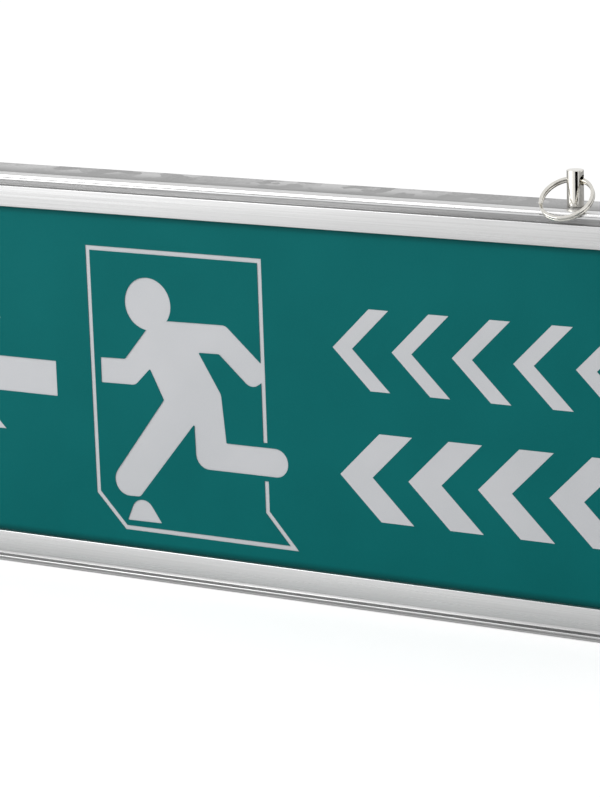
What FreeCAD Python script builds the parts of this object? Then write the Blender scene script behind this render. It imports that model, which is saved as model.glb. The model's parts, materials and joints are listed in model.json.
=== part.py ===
"""Suspended emergency exit light: an edge-lit panel in a mitred aluminium frame.

Millimetres.  X runs along the sign, the front looks towards -Y and +Z is up.
The origin is on the underside, at mid length and mid depth.
Depths are counted from the front face and insets from the outer edge inwards.
"""
import FreeCAD, Part
import math
import os
from FreeCAD import Vector

# ---------------------------------------------------------------- driving sizes
body_length = 380.0
body_height = 164.8
rim_depth = 5.9             # bezel extrusion, front face to its rear edge
housing_depth = 17.7        # folded tray behind the bezel

ridge_width = 2.4           # bezel extrusion, from its outer edge inwards
groove_width = 2.4
rail_width = 8.6
groove_depth = 3.0
bezel_wall = 1.2
rail_face_wall = 1.4
lip_depth = 2.2             # inner lip, from the front face to the legend
ridge_radius = 1.2
edge_break = 0.3
seam_bevel = 0.45

key_thickness = 1.5         # corner keys that hold the mitres
key_arm = 24.0
key_screw_place = 14.0
key_gap = 0.1

film_thickness = 0.3
diffuser_thickness = 1.5
reflector_thickness = 0.3
panel_gap = 0.3             # round everything that stands in the frame
gasket_width = 1.8

sheet = 0.8                 # steel of the tray, the chassis and the cover
chassis_gap = 0.6
cover_gap = 0.3
cover_recess = 0.8
lug_width = 12.0
lug_reach = 7.5
lug_inset = 85.0            # outermost lugs, from the ends
lug_count = 3

pin_inset = 55.0            # from the ends
pin_radius = 3.2
pin_height = 13.8
eye_height = 10.0
eye_radius = 2.0
pin_chamfer = 0.35
stud_radius = 2.0
stud_length = 7.0
nut_flats = 7.0
nut_height = 3.2
washer_radius = 4.0
washer_height = 0.8

ring_radius = 9.9           # split ring, centre line of its wire
wire_width = 1.3
wire_thickness = 1.0
turn_gap = 0.1
wire_break = 0.28
ring_lean = 37.6            # degrees below level, towards the front
splice_angle = 215.0
splice_half = 13.0

grommet_inset = 25.0        # from the left end
grommet_bore = 3.5
grommet_neck = 4.6
grommet_flange = 6.4
grommet_inner_flange = 5.4
grommet_lip = 1.2
grommet_squeeze = 0.05

led_end_inset = 25.0
led_board_thickness = 1.0
led_height = 1.2
led_width = 3.5
led_count = 15
led_side_gap = 0.2

arrow_margin = 25.0         # legend, from the left end and from the underside
arrow_level = 80.8
arrow_length = 70.9
arrow_stroke = 14.8
arrow_half_height = 23.7
door_gap = 18.0             # from the arrow's tail to the outline
door_bottom = 21.1
door_width = 79.8
door_height = 115.6
door_line = 1.9
door_knee = 13.8            # height at which both lower corners turn out
door_left_step = 12.7
door_right_step = 11.8
door_break_low = 26.5       # the rear leg passes the outline here
door_break_high = 42.2
figure_grid = (79.8, 115.6)     # doorway on which the figure's points are drawn
head_place = (27.5, 94.3)       # from the outline's left and bottom centre lines
head_radius = 10.8

board_low = 46.0            # control board, at mid length
board_length = 116.0
board_height = 62.0
board_thickness = 1.6
board_margin = 4.5
standoff_height = 2.5
standoff_radius = 2.6
screw_radius = 1.2
screw_head_radius = 2.2
screw_head_height = 1.4
screw_clearance = 0.25
screw_bite = 0.05

transformer_place = (22.0, 42.0)    # these from the board's lower left corner
transformer_size = (15.0, 13.0, 6.4)
capacitor_place = (50.0, 48.0)
capacitor_radius = 3.1
capacitor_length = 11.5
diode_place = (48.0, 14.0)
diode_radius = 1.3
diode_length = 5.2
diode_count = 4
diode_pitch = 5.5
resistor_place = (76.0, 12.0)
resistor_radius = 1.2
resistor_length = 6.4
resistor_count = 5
resistor_pitch = 5.0
transistor_place = (88.0, 42.0)
transistor_size = (8.0, 10.5, 3.2)
transistor_count = 2
transistor_pitch = 11.0
fuse_place = (22.0, 14.0)
fuse_radius = 2.6
fuse_length = 20.0
fuse_clip_length = 5.0
fuse_clip_wall = 0.5

terminal_inset = 40.0       # from the left end
terminal_drop = 46.8        # from the top
terminal_ways = 3
terminal_pitch = 6.5
terminal_height = 13.0
terminal_depth = 8.6
terminal_screw_radius = 1.6
clamp_drop = 24.8           # below the grommet, from the top
clamp_length = 20.0
clamp_height = 7.0
clamp_depth = 6.0

cell_radius = 5.1           # shrink-wrapped cells, side by side
cell_length = 44.0
cell_count = 3
pack_inset = 94.0           # from the right end
pack_low = 60.0
strap_width = 10.0
strap_thickness = 0.6
strap_foot = 8.0
socket_size = (9.0, 6.0, 5.5)
socket_inset = 10.0         # from the board's right edge
socket_rise = 20.0
plug_length = 7.0

button_level = 52.0         # test button and charge lamp in the right end
lamp_level = 66.0
button_radius = 2.4
button_reach = 1.2
button_collar = 3.4
button_collar_height = 0.8
button_travel = 0.8
button_play = 0.08
collar_play = 0.1
bush_wall = 0.9
bush_flange = 4.6
bush_flange_height = 0.8
switch_size = (6.0, 6.2, 7.0)
switch_bore = 1.9
plunger_radius = 1.7
lamp_radius = 1.5
lamp_base_radius = 1.9
switch_board_inset = 15.0
switch_board_height = 34.0
switch_board_low = 42.0
bracket_foot = 14.0

lead_radius = 0.7
lamp_lead_radius = 0.4
lead_slot_width = 8.0
lead_slot_height = 4.0

# ------------------------------------------------------------- derived places
bezel_width = ridge_width + groove_width + rail_width
body_depth = rim_depth + housing_depth
half_length = body_length / 2
groove_floor = groove_depth + bezel_wall
panel_inset = ridge_width + groove_width + bezel_wall + panel_gap
film_depth = lip_depth
diffuser_depth = film_depth + film_thickness
guide_depth = diffuser_depth + diffuser_thickness
flange_width = panel_inset + gasket_width
flange_rear = rim_depth + sheet
reflector_depth = flange_rear - reflector_thickness
chassis_rear = flange_rear + sheet
cover_depth = body_depth - cover_recess - sheet
led_board_inset = flange_width
led_inset = led_board_inset + led_board_thickness
guide_inset = flange_width + panel_gap
guide_top_inset = led_inset + led_height + panel_gap
key_inset = bezel_wall + key_gap
key_width = panel_inset - key_gap - key_inset - key_gap
key_line = key_inset + key_width / 2
hole_radius = screw_radius + screw_clearance
thread_radius = screw_radius + screw_bite
turn_pitch = wire_thickness + turn_gap
wall_mid_depth = rim_depth + housing_depth / 2
board_depth = chassis_rear + standoff_height
parts_depth = board_depth + board_thickness
eye_level = body_height + eye_height
pin_places = {"left": pin_inset - half_length, "right": half_length - pin_inset}
grommet_place = grommet_inset - half_length
led_board_length = body_length - 2 * led_end_inset
lug_spacing = (body_length - 2 * lug_inset) / (lug_count - 1)
arrow_nose = arrow_margin - half_length
door_left = arrow_nose + arrow_length + door_gap
board_place = (-board_length / 2, board_low)
socket_place = (board_length - socket_inset, socket_rise)
terminal_place = (terminal_inset - half_length, body_height - terminal_drop)
clamp_place = (grommet_place, body_height - clamp_drop)
pack_place = (half_length - pack_inset, pack_low)


def at(depth):
    """Y of a depth counted from the front face."""
    return depth - body_depth / 2


# --------------------------------------------------------------------- helpers
def save(name, shape):
    """Write one node; several shapes are kept as separate solids."""
    if isinstance(shape, (list, tuple)):
        shape = Part.makeCompound(list(shape))
    for solid in shape.Solids:
        assert solid.isValid() and solid.Volume > 0, name
    shape.exportStep(f"parts/{name}.step")


def block(x0, x1, y0, y1, z0, z1):
    return Part.makeBox(x1 - x0, y1 - y0, z1 - z0, Vector(x0, y0, z0))


def rod(start, axis, radius, length):
    return Part.makeCylinder(radius, length, Vector(*start), Vector(*axis))


def plate(left, right, low, high, front, rear, corner=0.0):
    """Flat plate in the plane of the sign, from one depth to another."""
    body = block(left, right, at(front), at(rear), low, high)
    if corner > 0:
        upright = [e for e in body.Edges if abs(e.tangentAt(e.FirstParameter).y) > 0.9]
        body = body.makeFillet(corner, upright)
    return body


def inset_plate(inset, front, rear, corner=0.0, top_inset=None):
    """Plate that keeps one distance from the outer edges of the sign."""
    top = inset if top_inset is None else top_inset
    return plate(-half_length + inset, half_length - inset, inset, body_height - top,
                 front, rear, corner)


def rounded_wire(points, place):
    """Closed wire through (a, b, radius) corners; place(a, b) gives the 3-D point."""
    count = len(points)
    ends = []
    for i, (a, b, radius) in enumerate(points):
        here = Vector(a, b, 0)
        before = Vector(*points[i - 1][:2], 0) - here
        after = Vector(*points[(i + 1) % count][:2], 0) - here
        before.normalize()
        after.normalize()
        if radius <= 0:
            ends.append((here, None, here))
            continue
        half = before.getAngle(after) / 2
        reach = radius / math.tan(half)
        middle = before + after
        middle.normalize()
        crown = here + middle * (radius / math.sin(half) - radius)
        ends.append((here + before * reach, crown, here + after * reach))
    edges = []
    for i, (first, crown, last) in enumerate(ends):
        following = ends[(i + 1) % count][0]
        if crown is not None:
            edges.append(Part.Arc(place(*first[:2]), place(*crown[:2]), place(*last[:2])).toShape())
        if (following - last).Length > 1e-6:
            edges.append(Part.LineSegment(place(*last[:2]), place(*following[:2])).toShape())
    return Part.Wire(edges)


def legend_shape(points):
    """Cutter through the legend film from an outline in X and Z."""
    front = film_depth - film_thickness
    wire = rounded_wire(points, lambda x, z: Vector(x, at(front), z))
    return Part.Face(wire).extrude(Vector(0, 3 * film_thickness, 0))


def pan_screw(head_place, length, head_radius=screw_head_radius, head_height=screw_head_height):
    """Screw driven from the rear: its head stands behind head_place, its shank in front."""
    x, y, z = head_place
    head = rod((x, y, z), (0, 1, 0), head_radius, head_height)
    head = head.makeFillet(head_height * 0.45, [head.Edges[0]])
    recess = block(x - head_radius * 0.6, x + head_radius * 0.6, y + head_height * 0.6,
                   y + head_height * 2, z - 0.25, z + 0.25)
    shank = rod((x, y, z), (0, -1, 0), screw_radius, length)
    return head.fuse(shank).cut(recess)


def hexagon(centre, flats, height):
    """Hexagonal prism that hangs down from its centre, with flats front and rear."""
    corner = flats / math.sqrt(3)
    turns = [math.radians(60 * i) for i in range(6)]
    points = [Vector(centre[0] + corner * math.cos(t), centre[1] + corner * math.sin(t),
                     centre[2]) for t in turns]
    return Part.Face(Part.makePolygon(points + points[:1])).extrude(Vector(0, 0, -height))


def lead(points, radius=lead_radius):
    """Round lead: straight runs joined by tangent arcs."""
    points = [Vector(*p) for p in points]
    ends = []
    for i in range(1, len(points) - 1):
        before = points[i - 1] - points[i]
        after = points[i + 1] - points[i]
        shorter = min(before.Length, after.Length)
        before.normalize()
        after.normalize()
        half = before.getAngle(after) / 2
        reach = 0.45 * shorter
        middle = before + after
        middle.normalize()
        bend = reach * math.tan(half)
        crown = points[i] + middle * (bend / math.sin(half) - bend)
        ends.append((points[i] + before * reach, crown, points[i] + after * reach))
    edges = []
    last = points[0]
    for first, crown, rest in ends:
        edges.append(Part.LineSegment(last, first).toShape())
        edges.append(Part.Arc(first, crown, rest).toShape())
        last = rest
    edges.append(Part.LineSegment(last, points[-1]).toShape())
    path = Part.Wire(edges)
    direction = (points[1] - points[0]).normalize()
    section = Part.Wire(Part.makeCircle(radius, points[0], direction))
    return path.makePipeShell([section], True, False)


# ----------------------------------------------------------------------- bezel
def bezel_section(place):
    """Face of the extrusion's section; place(inset, depth) gives the 3-D point."""
    ridge = ridge_width
    rail = ridge + groove_width
    inner = bezel_width
    corners = [
        (0, 0, ridge_radius),
        (ridge, 0, edge_break),
        (ridge, groove_depth, 0),
        (rail, groove_depth, 0),
        (rail, 0, edge_break),
        (inner, 0, edge_break),
        (inner, lip_depth, edge_break),
        (inner - bezel_wall, lip_depth, 0),
        (inner - bezel_wall, rail_face_wall, 0),
        (rail + bezel_wall, rail_face_wall, 0),
        (rail + bezel_wall, groove_floor, 0),
        (bezel_wall, groove_floor, 0),
        (bezel_wall, rim_depth, 0),
        (seam_bevel, rim_depth, 0),
        (0, rim_depth - seam_bevel, 0),
    ]
    return Part.Face(rounded_wire(corners, place))


def mitre(corners):
    """Prism that trims a length of bezel to its 45-degree ends."""
    points = [Vector(x, at(-1), z) for x, z in corners]
    outline = Part.makePolygon(points + points[:1])
    return Part.Face(outline).extrude(Vector(0, rim_depth + 2, 0))


def bezel_rails():
    top, half, width = body_height, half_length, bezel_width
    long_run = Vector(body_length, 0, 0)
    tall_run = Vector(0, 0, body_height)
    upper = bezel_section(lambda i, d: Vector(-half, at(d), top - i)).extrude(long_run)
    lower = bezel_section(lambda i, d: Vector(-half, at(d), i)).extrude(long_run)
    left = bezel_section(lambda i, d: Vector(-half + i, at(d), 0)).extrude(tall_run)
    right = bezel_section(lambda i, d: Vector(half - i, at(d), 0)).extrude(tall_run)
    outer = [(-half, 0), (half, 0), (half, top), (-half, top)]
    inner = [(-half + width, width), (half - width, width),
             (half - width, top - width), (-half + width, top - width)]
    rails = {"bezel_bottom_rail": lower, "bezel_right_rail": right,
             "bezel_top_rail": upper, "bezel_left_rail": left}
    trimmed = {}
    for i, (name, rail) in enumerate(rails.items()):
        j = (i + 1) % 4
        trimmed[name] = rail.common(mitre([outer[i], outer[j], inner[j], inner[i]]))
    return trimmed


def corners_of_sign():
    """Each corner with the two directions that lead inwards from it."""
    for x, sx in ((-half_length, 1), (half_length, -1)):
        for z, sz in ((0.0, 1), (body_height, -1)):
            yield x, sx, z, sz


def span(a, b):
    return (a, b) if a < b else (b, a)


def key_screw_places():
    for x, sx, z, sz in corners_of_sign():
        yield x + sx * key_screw_place, z + sz * key_line
        yield x + sx * key_line, z + sz * key_screw_place


def corner_keys():
    """Flat L-shaped keys behind the groove, one in each mitred corner."""
    front, rear = at(groove_floor), at(groove_floor + key_thickness)
    keys = []
    for x, sx, z, sz in corners_of_sign():
        near_x, near_z = x + sx * key_inset, z + sz * key_inset
        arm_x = block(*span(near_x, near_x + sx * key_arm), front, rear,
                      *span(near_z, near_z + sz * key_width))
        arm_z = block(*span(near_x, near_x + sx * key_width), front, rear,
                      *span(near_z, near_z + sz * key_arm))
        keys.append(arm_x.fuse(arm_z).removeSplitter())
    for hx, hz in key_screw_places():
        hole = rod((hx, front - 1, hz), (0, 1, 0), thread_radius, key_thickness + 2)
        keys = [key.cut(hole) for key in keys]
    return keys


def frame_screws():
    """Screws through chassis and tray flange into the corner keys."""
    length = chassis_rear - groove_floor - key_gap
    return [pan_screw((x, at(chassis_rear), z), length) for x, z in key_screw_places()]


# ---------------------------------------------------------------- legend panel
def arrow():
    """Left-pointing arrow whose barbs are as thick as its shaft."""
    stroke, half = arrow_stroke, arrow_half_height
    nose, level = arrow_nose, arrow_level
    cut = stroke * math.sqrt(2)
    root = nose + cut + stroke / 2
    end = nose + arrow_length
    upper = [(nose + half, level + half, 0), (nose + half + cut, level + half, 0),
             (root, level + stroke / 2, 0), (end, level + stroke / 2, 0)]
    lower = [(x, 2 * level - z, r) for x, z, r in reversed(upper)]
    return legend_shape([(nose, level, 0)] + upper + lower)


def in_doorway(x, z, radius=0.0):
    """Corner of the figure, brought from its grid to the doorway's own size."""
    wide = door_width / figure_grid[0]
    high = door_height / figure_grid[1]
    return door_left + x * wide, door_bottom + z * high, radius * min(wide, high)


def door_outline():
    """Thin doorway line with splayed feet, broken where the leg passes."""
    corners = [
        (0, door_knee), (0, door_height), (door_width, door_height), (door_width, door_knee),
        (door_width + door_right_step, 0), (door_left_step, 0),
    ]
    points = [Vector(door_left + x, at(film_depth - film_thickness), door_bottom + z)
              for x, z in corners]
    centre = Part.makePolygon(points + points[:1])
    outside = Part.Face(centre.makeOffset2D(door_line / 2, 2))
    inside = Part.Face(centre.makeOffset2D(-door_line / 2, 2))
    line = outside.cut(inside).extrude(Vector(0, 3 * film_thickness, 0))
    right = door_left + door_width
    gap = block(right - door_line, right + door_line, at(0), at(guide_depth),
                in_doorway(0, door_break_low)[1], in_doorway(0, door_break_high)[1])
    return line.cut(gap)


def runner():
    """Running figure and the mound of shadow under its front foot."""
    hand_end = figure_grid[0] + door_line * 0.2
    body = [
        (36.8, 88.1, 0), (63.3, 88.5, 4.0), (hand_end, 73.3, 0), (hand_end, 67.2, 1.2),
        (74.3, 63.4, 4.5), (59.8, 76.5, 1.0), (50.5, 76.3, 0.3), (60.2, 60.1, 5.0),
        (61.9, 40.2, 0.5), (89.9, 40.3, 5.8), (89.9, 28.5, 5.8), (47.4, 28.4, 6.0),
        (47.1, 46.6, 0.3), (19.9, 13.6, 2.5), (1.4, 13.1, 6.5), (33.2, 55.3, 0.8),
        (27.2, 67.6, 0.3), (20.0, 60.4, 4.0), (3.8, 60.1, 0.3), (3.9, 70.6, 0.3),
        (15.6, 70.9, 1.0), (26.5, 84.0, 0.3),
    ]
    mound = [(13.4, 3.2, 0.3), (20.0, 18.2, 5.4), (29.9, 3.4, 0.3)]
    shapes = []
    for outline in (body, mound):
        shapes.append(legend_shape([in_doorway(*corner) for corner in outline]))
    x, z, radius = in_doorway(*head_place, head_radius)
    head = rod((x, at(film_depth - film_thickness), z), (0, 1, 0), radius, 3 * film_thickness)
    return shapes[0].fuse(head), shapes[1]


def legend_film():
    film = inset_plate(panel_inset, film_depth, film_depth + film_thickness)
    figure, mound = runner()
    return film.cut(arrow()).cut(door_outline().fuse(figure)).cut(mound)


def panel_gasket():
    outer = inset_plate(panel_inset, guide_depth, rim_depth)
    return outer.cut(inset_plate(flange_width, guide_depth - 1, rim_depth + 1))


def led_strip():
    """Narrow board under the tray's top flange, its lamps facing down into the guide."""
    board_high = body_height - led_board_inset
    half = led_board_length / 2
    front, rear = guide_depth, reflector_depth
    board = plate(-half, half, board_high - led_board_thickness, board_high, front, rear)
    pitch = led_board_length / led_count
    chips = []
    for i in range(led_count):
        x = -half + pitch * (i + 0.5)
        high = body_height - led_inset
        chips.append(plate(x - led_width / 2, x + led_width / 2, high - led_height, high,
                           front + led_side_gap, rear - led_side_gap))
    return board, chips


# ---------------------------------------------------------------------- casing
def pin_notches():
    """Room round the nuts of the two suspension pins."""
    reach = nut_flats / math.sqrt(3) + 1.0
    low = body_height - sheet - stud_length - 0.5
    return [block(x - reach, x + reach, at(rim_depth - 1), at(chassis_rear + 1),
                  low, body_height - sheet) for x in pin_places.values()]


def lug_places():
    for i in range(lug_count):
        x = (i - (lug_count - 1) / 2) * lug_spacing
        yield x, 0.0, 1
        yield x, body_height, -1


def cover_screw_places():
    middle = (sheet + lug_reach) / 2 + sheet / 2
    for x, z, sz in lug_places():
        yield x, z + sz * middle


def folded_case():
    """Sheet case around the chassis, with a front flange and lugs for the cover."""
    outer = block(-half_length, half_length, at(rim_depth), at(body_depth), 0, body_height)
    front_edges = [e for e in outer.Edges
                   if all(abs(v.Y - at(rim_depth)) < 1e-6 for v in e.Vertexes)]
    upright = [e for e in outer.Edges if abs(e.tangentAt(e.FirstParameter).y) > 0.9]
    tray = outer.makeFillet(sheet, front_edges + upright)
    tray = tray.cut(inset_plate(sheet, flange_rear, body_depth + 1))
    tray = tray.cut(inset_plate(flange_width, rim_depth - 1, flange_rear + 1))
    lug_front, lug_rear = cover_depth - sheet, cover_depth
    for x, z, sz in lug_places():
        lug = plate(x - lug_width / 2, x + lug_width / 2,
                    *span(z + sz * sheet / 2, z + sz * lug_reach), lug_front, lug_rear)
        tray = tray.fuse(lug)
    for x, z in cover_screw_places():
        tray = tray.cut(rod((x, at(lug_front) - 1, z), (0, 1, 0), thread_radius, sheet + 2))
    for x, z in key_screw_places():
        tray = tray.cut(rod((x, at(rim_depth) - 1, z), (0, 1, 0), hole_radius, sheet + 2))
    for notch in pin_notches():
        tray = tray.cut(notch)
    for x in pin_places.values():
        tray = tray.cut(rod((x, 0, body_height - 2 * sheet), (0, 0, 1),
                            stud_radius + screw_clearance, 3 * sheet))
    tray = tray.cut(rod((grommet_place, at(wall_mid_depth), body_height - 2 * sheet),
                        (0, 0, 1), grommet_neck, 3 * sheet))
    bush_outer = button_radius + button_play + bush_wall
    end_holes = ((button_level, bush_outer), (lamp_level, lamp_radius + screw_clearance))
    for level, radius in end_holes:
        tray = tray.cut(rod((half_length - 2 * sheet, at(wall_mid_depth), level),
                            (1, 0, 0), radius, 3 * sheet))
    return tray.removeSplitter()


def channel_room():
    """Room of the top channel: between the tray's ends and down to the flange's edge."""
    return block(-half_length + sheet, half_length - sheet, at(rim_depth) - 1,
                 at(body_depth) + 1, body_height - flange_width, body_height + 1)


def housing_tray():
    """Tray folded from one sheet: underside, both ends and their front flange."""
    return folded_case().cut(channel_room())


def top_channel():
    """Folded channel that closes the tray above and carries the pins and the cable entry."""
    return folded_case().common(channel_room())


def back_cover():
    cover = inset_plate(sheet + cover_gap, cover_depth, cover_depth + sheet, 1.5)
    for x, z in cover_screw_places():
        cover = cover.cut(rod((x, at(cover_depth) - 1, z), (0, 1, 0), hole_radius, sheet + 2))
    return cover


def cover_screws():
    rear = cover_depth + sheet
    return [pan_screw((x, at(rear), z), 2 * sheet + 0.6, head_height=cover_recess)
            for x, z in cover_screw_places()]


def chassis_plate():
    """Flat plate that backs the light guide and carries the electrics."""
    chassis = inset_plate(sheet + chassis_gap, flange_rear, chassis_rear, 1.5)
    for x, z in key_screw_places():
        chassis = chassis.cut(rod((x, at(flange_rear) - 1, z), (0, 1, 0), hole_radius, sheet + 2))
    for notch in pin_notches():
        chassis = chassis.cut(notch)
    slot = lead_slot()
    chassis = chassis.cut(slot)
    for x, z in board_corners():
        chassis = chassis.cut(rod((x, at(flange_rear) - 1, z), (0, 1, 0), thread_radius, sheet + 2))
    return chassis


def lead_slot():
    """Slot in the chassis that lets the lamp lead through behind the strip."""
    x = board_place[0] + board_length / 2
    high = body_height - led_board_inset
    return block(x - lead_slot_width / 2, x + lead_slot_width / 2, at(flange_rear) - 1,
                 at(chassis_rear) + 1, high - lead_slot_height, high + led_board_thickness)


def cable_grommet():
    """Bush of rubber snapped into the top wall, with a neck between two lips."""
    centre = (grommet_place, at(wall_mid_depth))
    top = body_height
    under = top - sheet
    neck = grommet_neck - grommet_squeeze
    profile = [
        (grommet_bore, under - grommet_lip, 0.3),
        (grommet_inner_flange, under - grommet_lip, 0.5),
        (grommet_inner_flange, under, 0), (neck, under, 0), (neck, top, 0),
        (grommet_flange, top, 0), (grommet_flange, top + grommet_lip, 0.7),
        (grommet_bore, top + grommet_lip, 0.3),
    ]
    wire = rounded_wire(profile, lambda r, z: Vector(centre[0] + r, centre[1], z))
    return Part.Face(wire).revolve(Vector(*centre, 0), Vector(0, 0, 1), 360)


# ------------------------------------------------------------------ suspension
def suspension_pin(x):
    """Turned pin with a cross eye and a threaded stud below its shoulder."""
    body = rod((x, 0, body_height), (0, 0, 1), pin_radius, pin_height)
    body = body.makeChamfer(pin_chamfer, [e for e in body.Edges if e.Closed and
                                          e.BoundBox.ZMin > body_height + pin_height / 2])
    stud = rod((x, 0, body_height), (0, 0, -1), stud_radius, stud_length)
    eye = rod((x - 2 * pin_radius, 0, eye_level), (1, 0, 0), eye_radius, 4 * pin_radius)
    return body.fuse(stud).cut(eye)


def pin_washer(x):
    high = body_height - sheet
    disc = rod((x, 0, high), (0, 0, -1), min(washer_radius, nut_flats / 2), washer_height)
    return disc.cut(rod((x, 0, high + 1), (0, 0, -1), stud_radius + screw_bite,
                        washer_height + 2))


def pin_nut(x):
    high = body_height - sheet - washer_height
    nut = hexagon((x, 0, high), nut_flats, nut_height)
    return nut.cut(rod((x, 0, high + 1), (0, 0, -1), stud_radius + screw_bite, nut_height + 2))


def wire_section(angle, level):
    """Rounded wire section of the split ring, at an angle round its axis."""
    turn = math.radians(angle)
    out = Vector(math.cos(turn), math.sin(turn), 0)
    w, t, r = wire_width / 2, wire_thickness / 2, wire_break
    corners = [(-w, -t, r), (w, -t, r), (w, t, r), (-w, t, r)]
    return rounded_wire(corners, lambda a, b: out * (ring_radius + a) + Vector(0, 0, level + b))


def split_ring(x):
    """Two flat turns of one wire, joined by the step where it climbs over itself."""
    low, high = -turn_pitch / 2, turn_pitch / 2
    sweep = 360 - 2 * splice_half
    first = splice_angle + splice_half
    lower = Part.Face(wire_section(first, low)).revolve(Vector(), Vector(0, 0, 1), sweep)
    upper = Part.Face(wire_section(first, high)).revolve(Vector(), Vector(0, 0, 1), sweep)
    steps = 6
    climb = []
    for i in range(steps + 1):
        t = i / steps
        rise = t * t * (3 - 2 * t)
        climb.append(wire_section(splice_angle - splice_half + 2 * splice_half * t,
                                  low + turn_pitch * rise))
    step = Part.makeLoft(climb, True, False)
    ring = lower.fuse([upper, step])
    lean = math.radians(ring_lean)
    back = Vector(0, math.cos(lean), math.sin(lean))
    normal = Vector(0, -math.sin(lean), math.cos(lean))
    eye = Vector(x, 0, eye_level)
    hang = ring_radius - eye_sag() / 2
    centre = eye - back * hang
    place = FreeCAD.Matrix(1, back.x, normal.x, centre.x,
                           0, back.y, normal.y, centre.y,
                           0, back.z, normal.z, centre.z,
                           0, 0, 0, 1)
    ring.transformShape(place)
    return ring


def eye_sag():
    """How far the ring's arc falls back over the width of the pin."""
    return ring_radius - math.sqrt(ring_radius ** 2 - pin_radius ** 2)


# ------------------------------------------------------------------ electrics
def on_board(place):
    """X and Z of a place counted from the board's lower left corner."""
    return board_place[0] + place[0], board_place[1] + place[1]


def board_corners():
    x0, z0 = board_place
    for x in (x0 + board_margin, x0 + board_length - board_margin):
        for z in (z0 + board_margin, z0 + board_height - board_margin):
            yield x, z


def control_board():
    x0, z0 = board_place
    board = plate(x0, x0 + board_length, z0, z0 + board_height, board_depth, parts_depth, 1.5)
    for x, z in board_corners():
        board = board.cut(rod((x, at(board_depth) - 1, z), (0, 1, 0), hole_radius,
                              board_thickness + 2))
    return board


def board_standoffs():
    posts = []
    for x, z in board_corners():
        post = rod((x, at(chassis_rear), z), (0, 1, 0), standoff_radius, standoff_height)
        posts.append(post.cut(rod((x, at(chassis_rear) - 1, z), (0, 1, 0), thread_radius,
                                  standoff_height + 2)))
    return posts


def board_screws():
    length = board_thickness + standoff_height
    return [pan_screw((x, at(parts_depth), z), length) for x, z in board_corners()]


def transformer():
    """Ferrite core round a wound bobbin, lying on the board."""
    x, z = on_board(transformer_place)
    length, height, depth = transformer_size
    core = plate(x - length / 2, x + length / 2, z - height / 2, z + height / 2,
                 parts_depth, parts_depth + depth)
    leg = height * 0.18
    window = plate(x - length / 2 + leg, x + length / 2 - leg, z - height / 2 - 1,
                   z + height / 2 + 1, parts_depth + leg, parts_depth + depth - leg)
    winding = plate(x - length / 2 + leg, x + length / 2 - leg, z - height / 2 - 1,
                    z + height / 2 + 1, parts_depth + leg * 0.5, parts_depth + depth - leg * 0.5,
                    1.2)
    return core.cut(window).fuse(winding).removeSplitter()


def capacitor():
    """Can lying on its side, with the rolled groove near its rubber end."""
    x, z = on_board(capacitor_place)
    y = at(parts_depth + capacitor_radius)
    can = rod((x, y, z), (1, 0, 0), capacitor_radius, capacitor_length)
    can = can.makeFillet(0.5, [e for e in can.Edges if e.Closed])
    neck = Part.makeTorus(capacitor_radius + 0.25, 0.5, Vector(x + 2.0, y, z), Vector(1, 0, 0))
    return can.cut(neck)


def row_of_rods(place, radius, length, count, pitch):
    x, z = on_board(place)
    y = at(parts_depth + radius)
    return [rod((x, y, z + i * pitch), (1, 0, 0), radius, length) for i in range(count)]


def power_transistors():
    """Flat packages lying on the board, each with a screw hole in its tab."""
    x, z = on_board(transistor_place)
    length, height, depth = transistor_size
    cases = []
    for i in range(transistor_count):
        left = x + i * transistor_pitch
        case = plate(left, left + length, z, z + height, parts_depth, parts_depth + depth, 0.5)
        hole = rod((left + length / 2, at(parts_depth) - 1, z + height - 2.6), (0, 1, 0),
                   hole_radius, depth + 2)
        cases.append(case.cut(hole))
    return cases


def fuse_link():
    x, z = on_board(fuse_place)
    y = at(parts_depth + fuse_clip_wall + fuse_radius)
    glass = rod((x, y, z), (1, 0, 0), fuse_radius - 0.25, fuse_length)
    cap_length = fuse_clip_length + 0.6
    caps = [rod((x + shift, y, z), (1, 0, 0), fuse_radius, cap_length)
            for shift in (0, fuse_length - cap_length)]
    return glass.fuse(caps)


def fuse_clips():
    """Spring clips, open to the rear, one round each cap."""
    x, z = on_board(fuse_place)
    reach = fuse_radius + fuse_clip_wall
    y = at(parts_depth + reach)
    clips = []
    for left in (x, x + fuse_length - fuse_clip_length):
        outer = block(left, left + fuse_clip_length, at(parts_depth), y + reach * 0.75,
                      z - reach, z + reach)
        bore = rod((left - 1, y, z), (1, 0, 0), fuse_radius + 0.02, fuse_clip_length + 2)
        mouth = block(left - 1, left + fuse_clip_length + 1, y, y + 2 * reach,
                      z - fuse_radius * 0.8, z + fuse_radius * 0.8)
        clips.append(outer.cut(bore).cut(mouth))
    return clips


def terminal_block():
    """Moulded block with a screw well and a wire entry for each way."""
    x, z = terminal_place
    length = terminal_ways * terminal_pitch
    front, rear = chassis_rear, chassis_rear + terminal_depth
    body = plate(x, x + length, z, z + terminal_height, front, rear, 0.8)
    for i in range(terminal_ways):
        way = x + (i + 0.5) * terminal_pitch
        well = rod((way, at(rear) + 1, z + terminal_height / 2), (0, -1, 0),
                   terminal_screw_radius + 0.3, 3.5)
        entry = rod((way, at(front + terminal_depth * 0.4), z - 1), (0, 0, 1),
                    lead_radius + 0.3, 4.5)
        body = body.cut(well).cut(entry)
    return body


def terminal_screws():
    x, z = terminal_place
    rear = chassis_rear + terminal_depth
    screws = []
    for i in range(terminal_ways):
        way = x + (i + 0.5) * terminal_pitch
        base = (way, at(rear) - 2.5, z + terminal_height / 2)
        head = rod(base, (0, 1, 0), terminal_screw_radius, 1.6)
        slot = block(way - 2, way + 2, base[1] + 1.0, base[1] + 2.0, base[2] - 0.25, base[2] + 0.25)
        screws.append(head.cut(slot))
    return screws


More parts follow.
